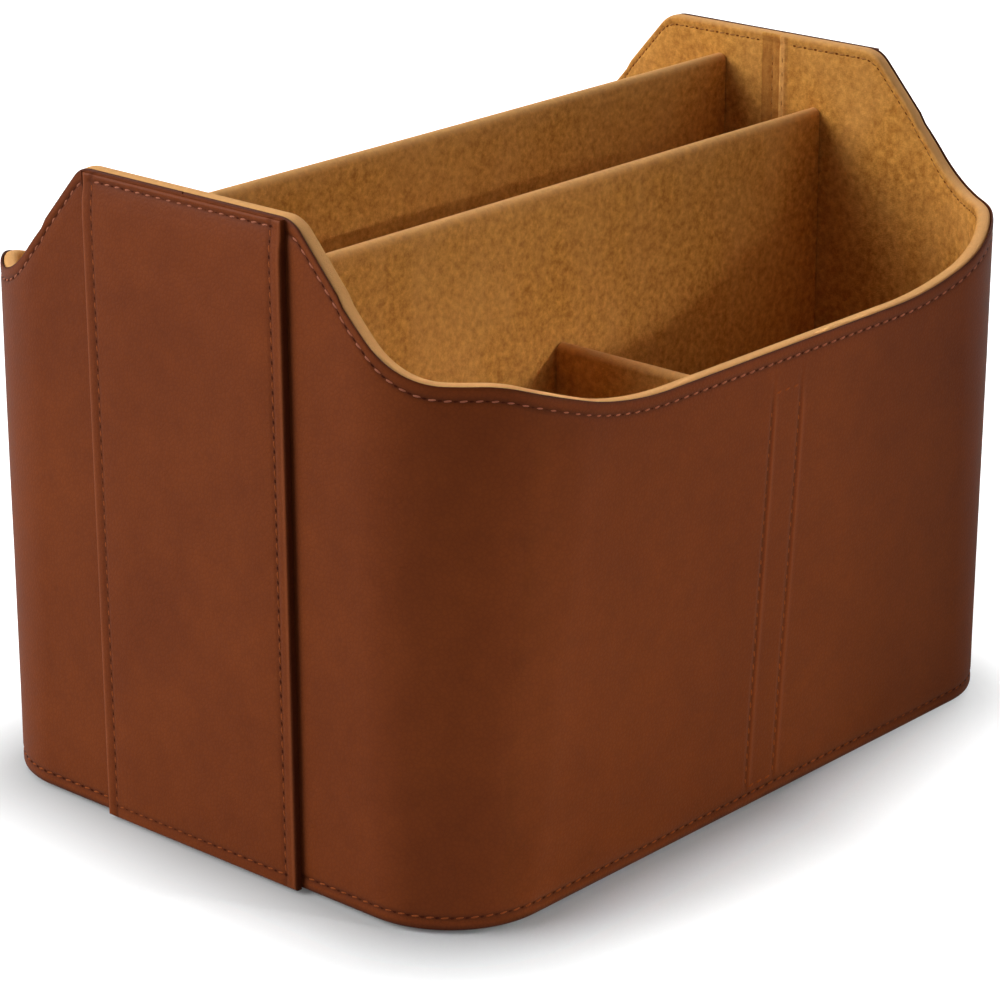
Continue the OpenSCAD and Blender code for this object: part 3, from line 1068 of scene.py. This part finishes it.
# Above 0 the mark darkens: stain on the rim's cut edge, painted shade in pressed lines, painted
# shadow at the base and beside the panels.
stain_and_painted_shade = ramp(tree, mark, 0.0, 1.0, "pressed")
# Below 0 the mark lightens: a painted highlight on ridges and bevels.
painted_highlight = ramp(tree, mark, 0.0, -1.0, "painted_highlight")
face = blend_colours(tree, shade, srgb(109, 49, 17), srgb(131, 63, 24))
face = tint(tree, face, creased, 0.18, srgb(66, 26, 12))
face = tint(tree, face, stain_and_painted_shade, 0.6, srgb(52, 18, 9))
face = tint(tree, face, painted_highlight, 0.6, srgb(176, 98, 58))
feed(tree, shader.inputs["Base Color"], face)
gloss = calculate(tree, "ADD", calculate(tree, "MULTIPLY", shade, 0.1), 0.42)
feed(tree, shader.inputs["Roughness"], gloss)
raise_surface(tree, shader, grain, 0.12, 0.25 * MM)
print("leather is mixed from", len(tree.nodes), "nodes")

# %% Suede
suede, tree, shader, where = new_finish(
    "tan suede",
    Roughness=0.92,
    Specular_IOR_Level=0.1,
    Sheen_Weight=0.08,
    Sheen_Roughness=0.5,
    Sheen_Tint=(1.0, 0.8, 0.52, 1.0),
)
mark = add(tree, "ShaderNodeAttribute", attribute_name="mark").outputs["Fac"]
fibres = place_group(tree, nap, where, Fibre=430.0, Brush=42.0)
# Above 0 the mark lightens the suede: wear on folds and a painted highlight on folds and on the
# lining's ridge.
wear_and_highlight = ramp(tree, mark, 0.0, 1.0, "wear and painted highlight")
# Below 0 the mark darkens the suede: a painted shadow beside the lining's ridge.
painted_shadow = ramp(tree, mark, 0.0, -1.0, "painted shadow beside the ridge")
body = blend_colours(tree, fibres.outputs["Tuft"], srgb(165, 101, 28), srgb(229, 165, 76))
body = tint(tree, body, fibres.outputs["Stroke"], 0.35, srgb(232, 172, 98))
body = tint(tree, body, wear_and_highlight, 0.85, srgb(246, 184, 118))
body = tint(tree, body, painted_shadow, 0.4, srgb(128, 56, 6))
feed(tree, shader.inputs["Base Color"], body)
raise_surface(tree, shader, fibres.outputs["Height"], 0.55, 0.6 * MM)
print("suede is mixed from", len(tree.nodes), "nodes")


# %% Thread and needle holes
def speckled_finish(name, dark, light, roughness, gloss, scale=2500.0, bump=0.4):
    """A finish in fine specks from dark to light, as in twisted thread, with bump or without."""
    material, tree, shader, where = new_finish(
        name, Roughness=roughness, Specular_IOR_Level=gloss
    )
    specks = noise_at(tree, where, Scale=scale)
    feed(tree, shader.inputs["Base Color"], blend_colours(tree, specks, dark, light))
    if bump > 0:
        raise_surface(tree, shader, specks, bump, 0.1 * MM)
    return material


thread_out = speckled_finish("waxed brown thread", srgb(134, 72, 48), srgb(196, 120, 88), 0.55, 0.2)
thread_dark = speckled_finish("dark brown thread", srgb(118, 56, 26), srgb(172, 92, 46), 0.7, 0.05)
thread_in = speckled_finish("tan thread", srgb(132, 82, 30), srgb(190, 132, 62), 0.6, 0.2)
DEEP = {"scale": 900.0, "bump": 0}
# Needle holes are painted shade: a dark form where the hole goes in.
painted_hole_shade = speckled_finish("needle hole", srgb(56, 22, 12), srgb(82, 36, 20), 0.85, 0.05, **DEEP)
painted_hole_shade_in_suede = speckled_finish(
    "needle hole in suede", srgb(92, 46, 14), srgb(128, 70, 26), 0.9, 0.05, **DEEP
)
print("three threads and two kinds of needle hole have a finish")

# %% Board and felt
board, tree, shader, where = new_finish("grey board", Roughness=0.9)
pulp = place_group(tree, mottling, where, Patches=60.0, Flecks=900.0).outputs["Shade"]
grey = blend_colours(tree, pulp, srgb(150, 140, 122), srgb(186, 178, 160))
feed(tree, shader.inputs["Base Color"], grey)
raise_surface(tree, shader, pulp, 0.2, 0.1 * MM)

felt, tree, shader, where = new_finish("dark felt", Roughness=0.95, Specular_IOR_Level=0.1)
fibres = place_group(tree, nap, where, Fibre=1100.0, Brush=70.0)
dark = blend_colours(tree, fibres.outputs["Tuft"], srgb(30, 24, 21), srgb(62, 52, 46))
feed(tree, shader.inputs["Base Color"], dark)
raise_surface(tree, shader, fibres.outputs["Height"], 0.5, 0.4 * MM)
print("felt is mixed from", len(tree.nodes), "nodes")


# %% Give every piece its finish
def finish_piece(piece, material):
    """Gives a piece one material."""
    piece.data.materials.clear()
    piece.data.materials.append(material)


for piece in (leather_front, leather_back, panel_left, panel_right):
    finish_piece(piece, leather)
for piece in (lining_front, lining_back, floor_suede):
    finish_piece(piece, suede)
for piece in (front_cover, rear_cover, cross_front, cross_back):
    finish_piece(piece, suede)
for piece in (thread_rim, thread_panels):
    finish_piece(piece, thread_out)
for piece in (thread_base, thread_sides, thread_box, thread_bars):
    finish_piece(piece, thread_dark)
for piece in (thread_inner, thread_seams):
    finish_piece(piece, thread_in)
finish_piece(leather_holes, painted_hole_shade)
finish_piece(suede_holes, painted_hole_shade_in_suede)
finish_piece(under_felt, felt)
for name, node in nodes.items():
    if name.endswith(("board", "backing")):
        node.data.materials.clear()
        node.data.materials.append(board)
print("every piece has its finish")

# %% [markdown]
# ## The setting
# The box stands on a plain pale floor. To the camera, the floor adds a little light of its
# own, more of it the farther it is from the box and towards the right and the back, so that
# it ends in plain white while the soft shadow round the base stays. The light is that of a
# table-top photographer: large soft lamps at the back left, high at the back, in front and
# on the right, and one small lamp whose narrow beam falls on the front wall, left of its
# middle. The rounded corner faces none of them and lies in shade between two lit walls. The
# floor is clear from below and the world is bright there, so that the felt underside can be
# looked at as well.


# %% Floor
def white_to_camera(tree, colour, near, far):
    """A matt floor that adds light for the camera only, from near the box to far from it."""
    tree.nodes.clear()
    where = add(tree, "ShaderNodeTexCoord").outputs["Object"]
    straight = (HALF_LENGTH - BASE_RADIUS, BASE_WIDTH / 2 - BASE_RADIUS, 0)
    beyond = vector_math(tree, "SUBTRACT", vector_math(tree, "ABSOLUTE", where)[0], straight)[0]
    outside = vector_math(tree, "MAXIMUM", beyond, (0, 0, 0))[0]
    distance = vector_math(tree, "LENGTH", outside)["Value"]
    sides = add(tree, "ShaderNodeSeparateXYZ", where).outputs
    for side, share in (("X", 0.2), ("Y", 0.08)):
        beyond_middle = calculate(tree, "MAXIMUM", sides[side], 0.0)
        farther = calculate(tree, "MULTIPLY", beyond_middle, share)
        distance = calculate(tree, "ADD", distance, farther)
    away = ramp(tree, distance, near, far, "away from the box")
    away.node.inputs["To Min"].default_value = 0.07
    seen = add(tree, "ShaderNodeLightPath").outputs["Is Camera Ray"]
    glow = calculate(tree, "MULTIPLY", seen, away)
    lit = add(tree, "ShaderNodeEmission", Strength=glow).outputs[0]
    matt = add(tree, "ShaderNodeBsdfDiffuse", Color=colour).outputs[0]
    both = add(tree, "ShaderNodeAddShader", matt, lit).outputs[0]
    clear = add(tree, "ShaderNodeBsdfTransparent").outputs[0]
    from_below = add(tree, "ShaderNodeNewGeometry").outputs["Backfacing"]
    sided = add(tree, "ShaderNodeMixShader", from_below, both, clear).outputs[0]
    add(tree, "ShaderNodeOutputMaterial", Surface=sided)


FLOOR_TONE = (0.58, 0.6, 0.606, 1)
GLOW_STARTS, GLOW_FULL = BASE_RADIUS + 2 * MM, BASE_RADIUS + 47 * MM
deselect_all()
bpy.ops.mesh.primitive_plane_add(size=14, location=(0, 0, 0.02 * MM))
floor = bpy.context.object
floor.name = "floor"
floor_white = bpy.data.materials.new("floor white")
floor_white.use_nodes = True
white_to_camera(floor_white.node_tree, FLOOR_TONE, GLOW_STARTS, GLOW_FULL)
floor.data.materials.append(floor_white)
print("the floor ends in white", round((GLOW_FULL - BASE_RADIUS) / MM), "mm from the box")


# %% Lamps and world
def soft_lamp(name, place, size, watts, aim=(0, 0, 0.09), spread=180):
    """A square area lamp that faces the middle of the box, or another point."""
    data = bpy.data.lights.new(name, "AREA")
    data.shape = "SQUARE"
    data.size = size
    data.energy = watts
    data.spread = math.radians(spread)
    lamp = new_object(name, data)
    lamp.location = place
    lamp.rotation_mode = "QUATERNION"
    lamp.rotation_quaternion = (Vector(aim) - Vector(place)).to_track_quat("-Z", "Y")


soft_lamp("lamp back left", (-1.4, 1.1, 1.0), 1.2, 33)
soft_lamp("lamp high back", (-0.2, 0.9, 1.7), 1.3, 7.5)
soft_lamp("lamp front right", (0.9, -1.5, 1.2), 1.2, 4)
soft_lamp("lamp right", (1.7, 0.3, 0.9), 1.2, 13)
soft_lamp("lamp on the front", (0.4, -1.2, 0.4), 0.25, 0.1, aim=(-0.06, -0.1, 0.05), spread=9)

AMBIENT = 0.12
world = bpy.data.worlds.new("studio")
bpy.context.scene.world = world
world.use_nodes = True
tree = world.node_tree
seen = add(tree, "ShaderNodeLightPath").outputs["Is Camera Ray"]
above = calculate(tree, "ADD", calculate(tree, "MULTIPLY", seen, 1 - AMBIENT), AMBIENT)
towards = add(tree, "ShaderNodeTexCoord").outputs["Generated"]
height = add(tree, "ShaderNodeSeparateXYZ", towards).outputs["Z"]
below = calculate(tree, "LESS_THAN", height, 0.0)
sky = tree.nodes["Background"]
sky.inputs["Color"].default_value = (1, 1, 1, 1)
feed(tree, sky.inputs["Strength"], calculate(tree, "ADD", above, below))
bpy.context.scene.view_settings.view_transform = "Standard"
print(len(bpy.data.lights), "lamps light the box")
